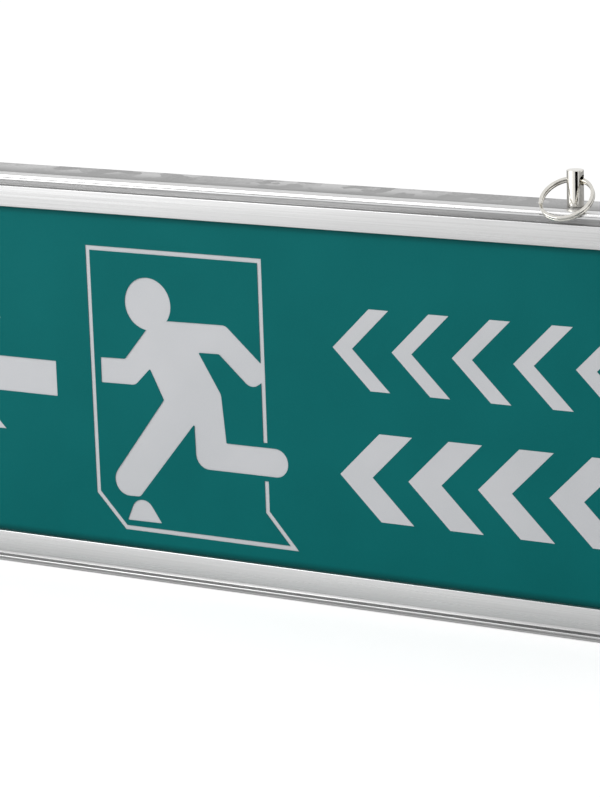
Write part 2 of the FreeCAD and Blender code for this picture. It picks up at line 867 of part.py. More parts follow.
def cable_clamp():
    """Bar that grips the incoming cable below the grommet."""
    x, z = clamp_place
    half = clamp_length / 2
    front, rear = chassis_rear, chassis_rear + clamp_depth
    bar = plate(x - half, x + half, z - clamp_height / 2, z + clamp_height / 2, front, rear, 1.0)
    arch = rod((x, at(front), z - clamp_height), (0, 0, 1), grommet_bore, 2 * clamp_height)
    bar = bar.cut(arch)
    for hx in clamp_screw_line():
        bar = bar.cut(rod((hx, at(front) - 1, z), (0, 1, 0), hole_radius, clamp_depth + 2))
    return bar


def clamp_screw_line():
    offset = (clamp_length / 2 + grommet_bore) / 2
    return clamp_place[0] - offset, clamp_place[0] + offset


def clamp_screws():
    rear = at(chassis_rear + clamp_depth)
    return [pan_screw((x, rear, clamp_place[1]), clamp_depth) for x in clamp_screw_line()]


def pack_axes():
    x, z = pack_place
    return [(x + (2 * i + 1) * cell_radius, z) for i in range(cell_count)]


def battery_pack():
    """Cells side by side under one shrink sleeve."""
    y = at(chassis_rear + cell_radius)
    axes = pack_axes()
    cells = [rod((x, y, z), (0, 0, 1), cell_radius, cell_length) for x, z in axes]
    web = block(axes[0][0], axes[-1][0], y - cell_radius * 0.8, y + cell_radius * 0.8,
                axes[0][1], axes[0][1] + cell_length)
    return cells[0].fuse(cells[1:] + [web]).removeSplitter()


def battery_strap():
    """Bent strip over the pack with a foot on each side."""
    x, z = pack_place
    width = 2 * cell_radius * cell_count
    low = z + (cell_length - strap_width) / 2
    high = low + strap_width
    front = chassis_rear
    rear = chassis_rear + 2 * cell_radius + cover_gap
    t = strap_thickness
    left, right = x - cover_gap, x + width + cover_gap
    bridge = plate(left - t, right + t, low, high, rear - t + cover_gap, rear + cover_gap)
    legs = [plate(left - t, left, low, high, front, rear + cover_gap),
            plate(right, right + t, low, high, front, rear + cover_gap),
            plate(left - strap_foot, left, low, high, front, front + t),
            plate(right, right + strap_foot, low, high, front, front + t)]
    strap = bridge.fuse(legs).removeSplitter()
    for hx in strap_screw_line():
        strap = strap.cut(rod((hx, at(front) - 1, z + cell_length / 2), (0, 1, 0),
                              hole_radius, t + 2))
    return strap


def strap_screw_line():
    x = pack_place[0]
    width = 2 * cell_radius * cell_count
    offset = cover_gap + (strap_foot + strap_thickness) / 2
    return x - offset, x + width + offset


def strap_screws():
    y = at(chassis_rear + strap_thickness)
    z = pack_place[1] + cell_length / 2
    return [pan_screw((x, y, z), strap_thickness) for x in strap_screw_line()]


def battery_socket():
    x, z = on_board(socket_place)
    length, height, depth = socket_size
    body = plate(x - length, x, z, z + height, parts_depth, parts_depth + depth)
    cavity = plate(x - length + 2.5, x + 1, z + 0.8, z + height - 0.8,
                   parts_depth + 0.8, parts_depth + depth - 0.8)
    return body.cut(cavity)


def battery_plug():
    x, z = on_board(socket_place)
    height, depth = socket_size[1:]
    inset = 0.8 + 0.1
    start = x - socket_size[0] + 2.5 + 0.1
    return plate(start, x - 0.2 + plug_length / 2, z + inset, z + height - inset,
                 parts_depth + inset, parts_depth + depth - inset)


def switch_bracket():
    """Small angle that carries the switch board across the right end."""
    x = half_length - switch_board_inset
    low, high = switch_board_low, switch_board_low + switch_board_height
    front, rear = chassis_rear, cover_depth - 2.0
    foot = plate(x - bracket_foot, x, low, high, front, front + sheet)
    wall = plate(x - sheet, x, low, high, front, rear)
    bracket = foot.fuse(wall).removeSplitter()
    for hz in bracket_screw_line():
        bracket = bracket.cut(rod((x - bracket_foot / 2, at(front) - 1, hz), (0, 1, 0),
                                  hole_radius, sheet + 2))
    return bracket


def bracket_screw_line():
    low = switch_board_low
    return low + 6.0, low + switch_board_height - 6.0


def bracket_screws():
    x = half_length - switch_board_inset - bracket_foot / 2
    y = at(chassis_rear + sheet)
    return [pan_screw((x, y, z), sheet) for z in bracket_screw_line()]


def switch_board():
    x = half_length - switch_board_inset
    low, high = switch_board_low, switch_board_low + switch_board_height
    return plate(x, x + board_thickness, low, high, chassis_rear + 0.5, cover_depth - 1.0)


def switch_face():
    return half_length - switch_board_inset + board_thickness


def test_switch():
    """Push switch whose body guides its own plunger."""
    x = switch_face()
    length, height, depth = switch_size
    mid = wall_mid_depth
    body = plate(x, x + length, button_level - height / 2, button_level + height / 2,
                 mid - depth / 2, mid + depth / 2)
    bore = rod((x + 1.2, at(mid), button_level), (1, 0, 0), switch_bore, length)
    return body.cut(bore)


def plunger_start():
    return switch_face() + 1.2 + button_travel + 0.3


def bush_start():
    return half_length - sheet - bush_flange_height


def collar_start():
    """Inner face of the button's collar, which the plunger touches."""
    return bush_start() - collar_play - button_collar_height


def switch_plunger():
    length = collar_start() - plunger_start()
    return rod((plunger_start(), at(wall_mid_depth), button_level), (1, 0, 0),
               plunger_radius, length)


def test_button():
    """Cap and collar; the collar keeps it in its bush."""
    y, z = at(wall_mid_depth), button_level
    start = collar_start()
    collar = rod((start, y, z), (1, 0, 0), button_collar, button_collar_height)
    end = half_length + bush_flange_height + button_reach
    stem = rod((start, y, z), (1, 0, 0), button_radius, end - start)
    stem = stem.makeFillet(0.6, [e for e in stem.Edges if e.Closed and
                                 e.BoundBox.XMin > half_length])
    return collar.fuse(stem)


def button_bush():
    """Flanged guide for the button, held in the end wall."""
    y, z = at(wall_mid_depth), button_level
    start = bush_start()
    bore = button_radius + button_play
    neck = rod((start, y, z), (1, 0, 0), bore + bush_wall, half_length - start)
    flange = rod((half_length, y, z), (1, 0, 0), bush_flange, bush_flange_height)
    flange = flange.makeFillet(0.4, [e for e in flange.Edges if e.Closed and
                                     e.BoundBox.XMin > half_length + bush_flange_height / 2])
    keeper = rod((start, y, z), (1, 0, 0), bush_flange - 0.6, bush_flange_height)
    body = neck.fuse([flange, keeper])
    return body.cut(rod((start - 1, y, z), (1, 0, 0), bore, half_length))


def charge_lamp():
    """Domed lamp standing on the switch board, its tip in the end wall."""
    y, z = at(wall_mid_depth), lamp_level
    start = switch_face()
    tip = half_length + 0.4
    base = rod((start, y, z), (1, 0, 0), lamp_base_radius, 1.0)
    stalk = rod((start, y, z), (1, 0, 0), lamp_radius, tip - lamp_radius - start)
    dome = Part.makeSphere(lamp_radius, Vector(tip - lamp_radius, y, z))
    return base.fuse([stalk, dome]).removeSplitter()


def mains_leads():
    """Two leads from the terminal block to the control board."""
    x, z = terminal_place
    depth = chassis_rear + terminal_depth * 0.4
    board_left = board_place[0]
    leads = []
    for i in range(2):
        way = x + (i + 0.5) * terminal_pitch
        level = board_low + 38.0 - 4.0 * i
        points = [(way, at(depth), z + 2.0), (way, at(depth), z - 8.0 + 2 * i),
                  (way + 8.0, at(depth - 1.0), level + 8.0),
                  (way + 26.0, at(depth + 0.5), level + 1.0),
                  (board_left - 22.0, at(parts_depth + 1.5), level),
                  (board_left - 6.0, at(parts_depth + 4.0), level),
                  (board_left + 6.0, at(parts_depth + 4.2), level),
                  (board_left + 6.0, at(parts_depth), level)]
        leads.append(lead(points))
    return leads


def battery_leads():
    """Two leads from the pack's foot round to its plug."""
    x_socket, z_socket = on_board(socket_place)
    x_plug = x_socket - 0.2 + plug_length / 2
    z_plug = z_socket + socket_size[1] / 2
    depth = parts_depth + socket_size[2] / 2
    leads = []
    for i, (cell_x, cell_z) in enumerate(pack_axes()[:2]):
        level = z_plug + (1.1 if i == 0 else -1.1)
        low = cell_z - 9.0 - 4.0 * i
        cell_y = at(chassis_rear + cell_radius)
        points = [(x_plug, at(depth), level), (x_plug + 10.0, at(depth), level),
                  (x_plug + 20.0, at(depth - 1.0), low + 6.0),
                  (cell_x - 12.0, cell_y, low), (cell_x, cell_y, low + 0.5),
                  (cell_x, cell_y, cell_z)]
        leads.append(lead(points))
    return leads


def led_leads():
    """Two leads from the control board through the chassis to the lamp strip."""
    x = board_place[0] + board_length / 2
    top = board_place[1] + board_height
    strip = body_height - led_board_inset - led_board_thickness / 2
    leads = []
    for side in (-1, 1):
        way = x + 1.5 * side
        points = [(way, at(parts_depth), top - 5.0), (way, at(parts_depth + 4.5), top - 5.0),
                  (way, at(parts_depth + 2.5), top + 9.0),
                  (way, at(chassis_rear + 2.5), strip - 20.0),
                  (way, at(chassis_rear + 3.0), strip),
                  (way, at(reflector_depth), strip)]
        leads.append(lead(points, lamp_lead_radius))
    return leads


def switch_leads():
    """Leads from the switch board to the control board."""
    x_end = half_length - switch_board_inset - sheet
    board_right = board_place[0] + board_length
    leads = []
    for i in range(2):
        level = switch_board_low + 12.0 + 4.0 * i
        low = 34.0 - 4.0 * i
        depth = chassis_rear + 4.0
        points = [(x_end, at(depth), level), (x_end - 9.0, at(depth), level),
                  (x_end - 18.0, at(depth), low), (x_end - 60.0, at(depth), low - 1.0),
                  (board_right + 10.0, at(depth), low),
                  (board_right - 2.0, at(parts_depth + 4.0), low + 8.0),
                  (board_right - 10.0, at(parts_depth + 4.2), low + 22.0),
                  (board_right - 10.0, at(parts_depth), low + 22.0)]
        leads.append(lead(points))
    return leads


# ----------------------------------------------------------------------- write
def main():
    os.makedirs("parts", exist_ok=True)
    for name, rail in bezel_rails().items():
        save(name, rail)
    save("corner_keys", corner_keys())
    save("frame_screws", frame_screws())
    save("legend_film", legend_film())
    save("diffuser_panel", inset_plate(panel_inset, diffuser_depth, guide_depth))
    save("panel_gasket", panel_gasket())
    save("light_guide", inset_plate(guide_inset, guide_depth, reflector_depth,
                                    top_inset=guide_top_inset))
    save("reflector_sheet", inset_plate(guide_inset, reflector_depth, flange_rear,
                                        top_inset=guide_top_inset))
    led_board, led_chips = led_strip()
    save("led_strip_board", led_board)
    save("led_chips", led_chips)
    save("housing_tray", housing_tray())
    save("top_channel", top_channel())
    save("back_cover", back_cover())
    save("cover_screws", cover_screws())
    save("chassis_plate", chassis_plate())
    save("cable_grommet", cable_grommet())
    for side, x in pin_places.items():
        save(f"suspension_pin_{side}", suspension_pin(x))
        save(f"split_ring_{side}", split_ring(x))
    save("pin_washers", [pin_washer(x) for x in pin_places.values()])
    save("pin_nuts", [pin_nut(x) for x in pin_places.values()])
    save("control_board", control_board())
    save("board_standoffs", board_standoffs())
    save("board_screws", board_screws())
    save("transformer", transformer())
    save("capacitor", capacitor())
    save("diodes", row_of_rods(diode_place, diode_radius, diode_length, diode_count,
                               diode_pitch))
    save("resistors", row_of_rods(resistor_place, resistor_radius, resistor_length,
                                  resistor_count, resistor_pitch))
    save("power_transistors", power_transistors())
    save("fuse_link", fuse_link())
    save("fuse_clips", fuse_clips())
    save("terminal_block", terminal_block())
    save("terminal_screws", terminal_screws())
    save("cable_clamp", cable_clamp())
    save("clamp_screws", clamp_screws())
    save("battery_pack", battery_pack())
    save("battery_strap", battery_strap())
    save("strap_screws", strap_screws())
    save("battery_socket", battery_socket())
    save("battery_plug", battery_plug())
    save("switch_bracket", switch_bracket())
    save("bracket_screws", bracket_screws())
    save("switch_board", switch_board())
    save("test_switch", test_switch())
    save("switch_plunger", switch_plunger())
    save("test_button", test_button())
    save("button_bush", button_bush())
    save("charge_lamp", charge_lamp())
    save("mains_leads", mains_leads())
    save("battery_leads", battery_leads())
    save("led_leads", led_leads())
    save("switch_leads", switch_leads())


main()
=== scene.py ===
"""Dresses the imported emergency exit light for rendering.

Metres, in the part's own frame: X along the sign, the front towards -Y, +Z up, underside at 0.
"""

import json
import math

import bmesh
import bpy
from mathutils import Matrix, Vector


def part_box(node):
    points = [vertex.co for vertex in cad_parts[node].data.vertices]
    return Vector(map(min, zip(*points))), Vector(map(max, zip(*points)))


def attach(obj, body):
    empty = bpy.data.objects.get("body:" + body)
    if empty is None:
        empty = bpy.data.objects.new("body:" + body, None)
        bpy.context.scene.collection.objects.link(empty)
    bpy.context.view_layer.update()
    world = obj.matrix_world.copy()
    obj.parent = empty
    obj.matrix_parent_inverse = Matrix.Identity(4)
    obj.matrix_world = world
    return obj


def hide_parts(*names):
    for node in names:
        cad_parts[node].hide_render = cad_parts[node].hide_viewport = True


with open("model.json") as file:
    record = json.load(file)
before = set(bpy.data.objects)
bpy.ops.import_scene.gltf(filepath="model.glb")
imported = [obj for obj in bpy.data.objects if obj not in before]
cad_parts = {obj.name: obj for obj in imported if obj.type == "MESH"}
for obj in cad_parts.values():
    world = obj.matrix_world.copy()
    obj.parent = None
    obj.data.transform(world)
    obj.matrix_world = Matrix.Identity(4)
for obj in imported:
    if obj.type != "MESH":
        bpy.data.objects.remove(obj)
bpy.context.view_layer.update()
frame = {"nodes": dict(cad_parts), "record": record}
nodes = frame["nodes"]

# ---------------------------------------------------------------- driving sizes
edge_soft = 0.00012             # broken edge of extruded and folded metal
smooth_angle = 35.0             # degrees; sharper edges are broken, the rest shaded smooth
weld_distance = 0.000002        # closer vertices of a CAD mesh are one
ridge_round = 0.00125           # height of the ridge's rounded shoulder
ridge_spread = 1.3              # how much taller the shoulder is than deep
groove_from, groove_to = 0.0023, 0.0049     # groove's sides, from the sign's outline
groove_mouth = 0.0007           # depth at which the groove's painted shade begins
lip_width = 0.0134              # from the sign's outline to the film's visible edge
low_shade, high_shade = 0.0028, 0.0030      # reach of the lips' shade on the film
pin_rim = 0.00025               # softened rim of a turned pin
eye_level = 0.1748              # height of the eyes' axis
eye_radius = 0.0020
stud_radius = 0.0020
mark_thickness = 0.00006        # opal vinyl marks laid on the film
mark_lift = 0.00001

upper_marks = {"count": 5, "left": 0.0356, "right": 0.1635, "low": 0.0888, "high": 0.1212,
               "stroke": 0.0060}
lower_marks = {"count": 4, "left": 0.0373, "right": 0.1592, "low": 0.0365, "high": 0.07195,
               "stroke": 0.0101}

camera_place = Vector((0.61836, -1.05275, 0.38014))
camera_right = Vector((0.87101605, 0.49017662, -0.03252574))
camera_up = Vector((-0.09019573, 0.22465412, 0.97025525))
camera_back = Vector((0.48290349, -0.84217421, 0.23988918))
camera_lens = 142.96
sensor_size = 36.0

# ------------------------------------------------------------ sizes of the frame
tray_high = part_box("housing_tray")[1]
half_length, sign_height = tray_high.x, tray_high.z
face_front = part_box("bezel_top_rail")[0].y
film_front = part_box("legend_film")[0].y


# --------------------------------------------------------------------- helpers
def tone(red, green, blue):
    """Linear colour from display values of 0 to 255."""
    def linear(value):
        value /= 255
        return value / 12.92 if value <= 0.04045 else ((value + 0.055) / 1.055) ** 2.4
    return (linear(red), linear(green), linear(blue), 1.0)


def grey(value):
    return tone(value, value, value)


def start_clean():
    if bpy.context.mode != "OBJECT":
        bpy.ops.object.mode_set(mode="OBJECT")
    bpy.ops.object.select_all(action="DESELECT")


def take(piece):
    """Make one piece the only selected and active one."""
    start_clean()
    piece.select_set(True)
    bpy.context.view_layer.objects.active = piece


def pick(piece, kind, test):
    """In edit mode, select the vertices, edges or faces that pass a test."""
    mesh = bmesh.from_edit_mesh(piece.data)
    bpy.ops.mesh.select_all(action="DESELECT")
    for element in getattr(mesh, kind):
        if test(element):
            element.select_set(True)
    mesh.select_flush(True)
    bmesh.update_edit_mesh(piece.data)


def settle(piece):
    """Put a piece's place into its mesh, so that the object sits at the origin."""
    take(piece)
    bpy.ops.object.transform_apply(location=True, rotation=True, scale=True)


def soften(piece, width, segments=2, weighted=False):
    """Break the sharp edges, and shade the rest smooth."""
    take(piece)
    if width > 0:
        bevel = piece.modifiers.new("broken_edge", "BEVEL")
        bevel.width = width
        bevel.segments = segments
        bevel.limit_method = "ANGLE"
        bevel.angle_limit = math.radians(smooth_angle)
        bevel.harden_normals = False
        bpy.ops.object.modifier_apply(modifier=bevel.name)
    bpy.ops.object.shade_smooth_by_angle(angle=math.radians(smooth_angle))
    if weighted:
        even = piece.modifiers.new("even_shading", "WEIGHTED_NORMAL")
        even.keep_sharp = True
        bpy.ops.object.modifier_apply(modifier=even.name)


def finished(piece, body, material):
    """Give a new piece its finish and the body that carries it."""
    piece.data.materials.clear()
    piece.data.materials.append(material)
    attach(piece, body)
    return piece


def dressed(name, body, material, width=0.0):
    """Smooth copy of a CAD node with its edges broken, shown in the node's place."""
    start_clean()
    piece = nodes[name].copy()
    piece.data = nodes[name].data.copy()
    piece.name = f"{name}_finished"
    piece.parent = None
    piece.matrix_world = nodes[name].matrix_world.copy()
    bpy.context.collection.objects.link(piece)
    settle(piece)
    bpy.ops.object.mode_set(mode="EDIT")
    bpy.ops.mesh.select_all(action="SELECT")
    bpy.ops.mesh.remove_doubles(threshold=weld_distance)
    bpy.ops.mesh.tris_convert_to_quads(face_threshold=0.02, shape_threshold=0.02)
    bpy.ops.mesh.dissolve_limited(angle_limit=math.radians(0.5))
    bpy.ops.object.mode_set(mode="OBJECT")
    soften(piece, width)
    finished(piece, body, material)
    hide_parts(name)
    return piece


# ------------------------------------------------------------- pattern groups
def new_group(name, inputs, outputs):
    """Empty node group with named sockets, its input node and its output node."""
    group = bpy.data.node_groups.new(name, "ShaderNodeTree")
    for label, kind, value in inputs:
        socket = group.interface.new_socket(name=label, in_out="INPUT", socket_type=kind)
        socket.default_value = value
    for label, kind in outputs:
        group.interface.new_socket(name=label, in_out="OUTPUT", socket_type=kind)
    return group, group.nodes.new("NodeGroupInput"), group.nodes.new("NodeGroupOutput")


def node(tree, kind, settings=None, **inputs):
    """Add a node; inputs, by label or as i0, i1 by number, are values or sockets to link from."""
    made = tree.nodes.new(kind)
    for key, value in (settings or {}).items():
        setattr(made, key, value)
    for key, value in inputs.items():
        label = int(key[1:]) if key[1:].isdigit() else key.replace("_", " ")
        socket = made.inputs[label]
        if isinstance(value, bpy.types.NodeSocket):
            tree.links.new(value, socket)
        else:
            socket.default_value = value
    return made


def blended(tree, factor, first, second):
    mix = node(tree, "ShaderNodeMix", {"data_type": "RGBA"}, i0=factor, i6=first, i7=second)
    return mix.outputs[2]


def weighted_sum(tree, first, share, second, other_share):
    return node(tree, "ShaderNodeMath", {"operation": "MULTIPLY_ADD"}, i0=first, i1=share,
                i2=product(tree, second, other_share)).outputs[0]


def larger(tree, first, second):
    return node(tree, "ShaderNodeMath", {"operation": "MAXIMUM"}, i0=first, i1=second).outputs[0]


def product(tree, first, second):
    return node(tree, "ShaderNodeMath", {"operation": "MULTIPLY"}, i0=first, i1=second).outputs[0]


def ramp(tree, value, start, end, low=0.0, high=1.0):
    """Value from start to end brought to a range from low to high, and held beyond it."""
    return node(tree, "ShaderNodeMapRange", Value=value, From_Min=start, From_Max=end, To_Min=low,
                To_Max=high).outputs["Result"]


PATTERN_OUTPUTS = [("Color", "NodeSocketColor"), ("Roughness", "NodeSocketFloat"),
                   ("Height", "NodeSocketFloat")]


def drawn_lines_group():
    """Fine lines drawn along an extrusion, with slow changes of tone along them."""
    group, source, sink = new_group(
        "Drawn Lines",
        [("Light Tone", "NodeSocketColor", grey(230)), ("Dark Tone", "NodeSocketColor", grey(200)),
         ("Stretch", "NodeSocketVector", (12.0, 3000.0, 3000.0)),
         ("Roughness Low", "NodeSocketFloat", 0.25), ("Roughness High", "NodeSocketFloat", 0.4)],
        PATTERN_OUTPUTS)
    place = node(group, "ShaderNodeTexCoord").outputs["Object"]
    stretched = node(group, "ShaderNodeMapping", Vector=place,
                     Scale=source.outputs["Stretch"]).outputs["Vector"]
    lines = node(group, "ShaderNodeTexNoise", Vector=stretched, Scale=1.0, Detail=3.0,
                 Roughness=0.6).outputs["Fac"]
    slow = node(group, "ShaderNodeTexNoise", Vector=place, Scale=18.0, Detail=2.0).outputs["Fac"]
    crisp = ramp(group, lines, 0.3, 0.7)
    both = weighted_sum(group, slow, 0.35, crisp, 0.65)
    colour = blended(group, both, source.outputs["Dark Tone"], source.outputs["Light Tone"])
    rough = ramp(group, crisp, 0.0, 1.0, source.outputs["Roughness High"],
                 source.outputs["Roughness Low"])
    group.links.new(colour, sink.inputs["Color"])
    group.links.new(rough, sink.inputs["Roughness"])
    group.links.new(crisp, sink.inputs["Height"])
    return group


def zinc_group():
    """Crystals of a zinc coat: patches of a few millimetres in near greys, with painted shade that
    pulls them towards the dark tone at the front of the sheet, as far as Front Shade asks.
    """
    group, source, sink = new_group(
        "Zinc Crystals",
        [("Light Tone", "NodeSocketColor", grey(190)), ("Dark Tone", "NodeSocketColor", grey(150)),
         ("Crystals", "NodeSocketFloat", 160.0), ("Front Shade", "NodeSocketFloat", 1.0),
         ("Roughness Low", "NodeSocketFloat", 0.35), ("Roughness High", "NodeSocketFloat", 0.6)],
        PATTERN_OUTPUTS)
    place = node(group, "ShaderNodeTexCoord").outputs["Object"]
    warp = node(group, "ShaderNodeTexNoise", Vector=place, Scale=90.0, Detail=2.0).outputs["Color"]
    moved = node(group, "ShaderNodeMix", {"data_type": "VECTOR"}, i0=0.012, i4=place,
                 i5=warp).outputs[1]
    cells = node(group, "ShaderNodeTexVoronoi", Vector=moved, Scale=source.outputs["Crystals"])
    shade = node(group, "ShaderNodeSeparateColor", Color=cells.outputs["Color"]).outputs["Red"]
    grain = node(group, "ShaderNodeTexNoise", Vector=place, Scale=900.0, Detail=3.0).outputs["Fac"]
    mixed = weighted_sum(group, shade, 0.6, grain, 0.4)
    # painted shade: towards the front of the sheet the crystals fall to the dark tone, where the
    # bezel's ridge stands over the case's top
    depth = node(group, "ShaderNodeSeparateXYZ", Vector=place).outputs["Y"]
    painted_front_shade = ramp(group, depth, -0.004, 0.006, source.outputs["Front Shade"])
    mottled = product(group, ramp(group, mixed, 0.3, 0.7), painted_front_shade)
    colour = blended(group, mottled, source.outputs["Dark Tone"], source.outputs["Light Tone"])
    rough = ramp(group, shade, 0.0, 1.0, source.outputs["Roughness Low"],
                 source.outputs["Roughness High"])
    group.links.new(colour, sink.inputs["Color"])
    group.links.new(rough, sink.inputs["Roughness"])
    group.links.new(mixed, sink.inputs["Height"])
    return group


def grain_group():
    """Even grain of a moulded, printed or coated surface."""
    group, source, sink = new_group(
        "Fine Grain",
        [("Tone", "NodeSocketColor", grey(180)), ("Speck Tone", "NodeSocketColor", grey(150)),
         ("Grain", "NodeSocketFloat", 2500.0),
         ("Roughness Low", "NodeSocketFloat", 0.4), ("Roughness High", "NodeSocketFloat", 0.55)],
        PATTERN_OUTPUTS)
    place = node(group, "ShaderNodeTexCoord").outputs["Object"]
    fine = node(group, "ShaderNodeTexNoise", Vector=place, Scale=source.outputs["Grain"],
                Detail=4.0).outputs["Fac"]
    broad = node(group, "ShaderNodeTexNoise", Vector=place, Scale=25.0, Detail=2.0).outputs["Fac"]
    amount = ramp(group, product(group, fine, broad), 0.15, 0.4)
    colour = blended(group, amount, source.outputs["Tone"], source.outputs["Speck Tone"])
    rough = ramp(group, broad, 0.0, 1.0, source.outputs["Roughness Low"],
                 source.outputs["Roughness High"])
    group.links.new(colour, sink.inputs["Color"])
    group.links.new(rough, sink.inputs["Roughness"])
    group.links.new(fine, sink.inputs["Height"])
    return group


drawn_lines = drawn_lines_group()
zinc_crystals = zinc_group()
fine_grain = grain_group()


# ------------------------------------------------------------------ materials
def finish(name, pattern, settings, relief=0.0, relief_depth=0.00002, **shader):
    """Material whose pattern group feeds the colour, roughness and relief of one shader."""
    material = bpy.data.materials.new(name)
    material.use_nodes = True
    tree = material.node_tree
    tree.nodes.clear()
    group = tree.nodes.new("ShaderNodeGroup")
    group.node_tree = pattern
    for label, value in settings.items():
        group.inputs[label].default_value = value
    surface = tree.nodes.new("ShaderNodeBsdfPrincipled")
    for label, value in shader.items():
        surface.inputs[label.replace("_", " ")].default_value = value
    tree.links.new(group.outputs["Color"], surface.inputs["Base Color"])
    tree.links.new(group.outputs["Roughness"], surface.inputs["Roughness"])
    if relief > 0:
        bump = node(tree, "ShaderNodeBump", Strength=relief, Distance=relief_depth,
                    Height=group.outputs["Height"])
        tree.links.new(bump.outputs["Normal"], surface.inputs["Normal"])
    output = tree.nodes.new("ShaderNodeOutputMaterial")
    tree.links.new(surface.outputs["BSDF"], output.inputs["Surface"])
    return material


def plain(name, colour, speck, low, high, grain=2500.0, relief=0.1, **shader):
    """Fine-grained finish for mouldings, boards and small parts."""
    return finish(name, fine_grain, {"Tone": colour, "Speck Tone": speck, "Grain": grain,
                                     "Roughness Low": low, "Roughness High": high},
                  relief=relief, **shader)


ALONG_X = {"Stretch": (9.0, 2600.0, 2600.0)}
ALONG_Z = {"Stretch": (2600.0, 2600.0, 9.0)}
ALUMINIUM = {"Light Tone": grey(215), "Dark Tone": grey(191),
             "Roughness Low": 0.24, "Roughness High": 0.40}
aluminium_long = finish("brushed_aluminium_long", drawn_lines, {**ALUMINIUM, **ALONG_X},
                        relief=0.12, relief_depth=0.00001, Metallic=1.0)
aluminium_tall = finish("brushed_aluminium_tall", drawn_lines, {**ALUMINIUM, **ALONG_Z},
                        relief=0.12, relief_depth=0.00001, Metallic=1.0)
# darker, rougher aluminium for the groove faces: painted shade under the overhanging ridge
GROOVE_PAINTED_SHADE = {"Light Tone": grey(186), "Dark Tone": grey(160), "Roughness Low": 0.35,
          "Roughness High": 0.5}
groove_long = finish("shaded_groove_long", drawn_lines, {**GROOVE_PAINTED_SHADE, **ALONG_X}, Metallic=1.0)
groove_tall = finish("shaded_groove_tall", drawn_lines, {**GROOVE_PAINTED_SHADE, **ALONG_Z}, Metallic=1.0)
zinc_cover = finish("zinc_cover", zinc_crystals,
                    {"Light Tone": grey(184), "Dark Tone": grey(158), "Crystals": 150.0},
                    relief=0.25, Metallic=0.85)
FINISHES = {
    "brushed_aluminium": aluminium_long,
    # the case's top gets painted shade towards the front, under the bezel's ridge
    "galvanised_steel": finish("galvanised_steel", zinc_crystals,
                               {"Light Tone": grey(196), "Dark Tone": grey(138),
                                "Crystals": 110.0, "Front Shade": 0.25},
                               relief=0.25, Metallic=0.85),
    "nickel_plate": finish("nickel_plate", drawn_lines,
                           {"Light Tone": tone(222, 220, 214), "Dark Tone": tone(206, 203, 196),
                            "Stretch": (900.0, 900.0, 900.0),
                            "Roughness Low": 0.05, "Roughness High": 0.10}, relief=0.03,
                           Metallic=1.0),
    "screw_steel": finish("screw_steel", zinc_crystals,
                          {"Light Tone": tone(200, 200, 204), "Dark Tone": tone(170, 171, 176),
                           "Crystals": 900.0, "Roughness Low": 0.25, "Roughness High": 0.4},
                          relief=0.05, Metallic=1.0),
    "green_film": plain("green_film", tone(8, 104, 104), tone(5, 98, 98), 0.30, 0.42, 3200.0,
                        0.03, Specular_IOR_Level=0.06),
    "opal_acrylic": plain("opal_acrylic", tone(204, 205, 208), tone(196, 198, 201), 0.30, 0.42,
                          2800.0, 0.03, Specular_IOR_Level=0.25),
    "clear_acrylic": plain("clear_acrylic", tone(225, 232, 232), tone(215, 224, 224), 0.08, 0.16,
                           Transmission_Weight=0.8),
    "white_reflector": plain("white_reflector", grey(238), grey(230), 0.5, 0.65),
    "grey_foam": plain("grey_foam", grey(92), grey(58), 0.8, 0.95, 1400.0, 0.6),
    "black_rubber": plain("black_rubber", grey(30), grey(20), 0.55, 0.75, 1800.0, 0.25),
    "circuit_laminate": plain("circuit_laminate", tone(24, 86, 52), tone(16, 66, 40), 0.3, 0.45),
    "led_white": plain("led_white", tone(236, 232, 214), tone(226, 214, 170), 0.3, 0.45),
    "dark_ferrite": plain("dark_ferrite", grey(52), grey(40), 0.6, 0.8),
    "capacitor_sleeve": plain("capacitor_sleeve", tone(26, 34, 64), tone(20, 26, 50), 0.25, 0.35),
    "black_epoxy": plain("black_epoxy", grey(34), grey(26), 0.45, 0.6),
    "resistor_body": plain("resistor_body", tone(196, 172, 132), tone(180, 152, 112), 0.4, 0.55),
    "fuse_glass": plain("fuse_glass", tone(220, 228, 226), tone(208, 216, 214), 0.05, 0.1,
                        Transmission_Weight=0.7),
    "clip_brass": finish("clip_brass", drawn_lines,
                         {"Light Tone": tone(206, 176, 104), "Dark Tone": tone(178, 146, 80),
                          "Stretch": (60.0, 2200.0, 2200.0)}, relief=0.05, Metallic=1.0),
    "white_nylon": plain("white_nylon", tone(228, 227, 220), tone(218, 216, 208), 0.4, 0.55),
    "black_nylon": plain("black_nylon", grey(36), grey(28), 0.4, 0.55),
    "cell_sleeve": plain("cell_sleeve", tone(70, 112, 168), tone(58, 96, 150), 0.22, 0.34),
    "button_red": plain("button_red", tone(178, 34, 30), tone(158, 26, 24), 0.3, 0.42),
    "lamp_green": plain("lamp_green", tone(60, 170, 88), tone(48, 150, 76), 0.12, 0.2,
                        Transmission_Weight=0.35),
    "lead_sheath": plain("lead_sheath", tone(190, 44, 40), tone(168, 36, 32), 0.4, 0.55),
}


def shadowed(material, lip_shade_tone, low, high):
    """Paint shade into a panel's colour along the lips that overhang it, between two heights."""
    tree = material.node_tree
    surface = next(n for n in tree.nodes if n.type == "BSDF_PRINCIPLED")
    colour = surface.inputs["Base Color"].links[0].from_socket
    height = node(tree, "ShaderNodeSeparateXYZ", Vector=node(
        tree, "ShaderNodeTexCoord").outputs["Object"]).outputs["Z"]
    near_low = ramp(tree, height, low + low_shade, low, 0.0, 0.75)
    near_high = ramp(tree, height, high - high_shade, high, 0.0, 0.45)
    tree.links.new(blended(tree, larger(tree, near_low, near_high), colour, lip_shade_tone),
                   surface.inputs["Base Color"])


# painted shade on the green film, darker towards its top and bottom lips
shadowed(FINISHES["green_film"], tone(2, 46, 44), lip_width, sign_height - lip_width)

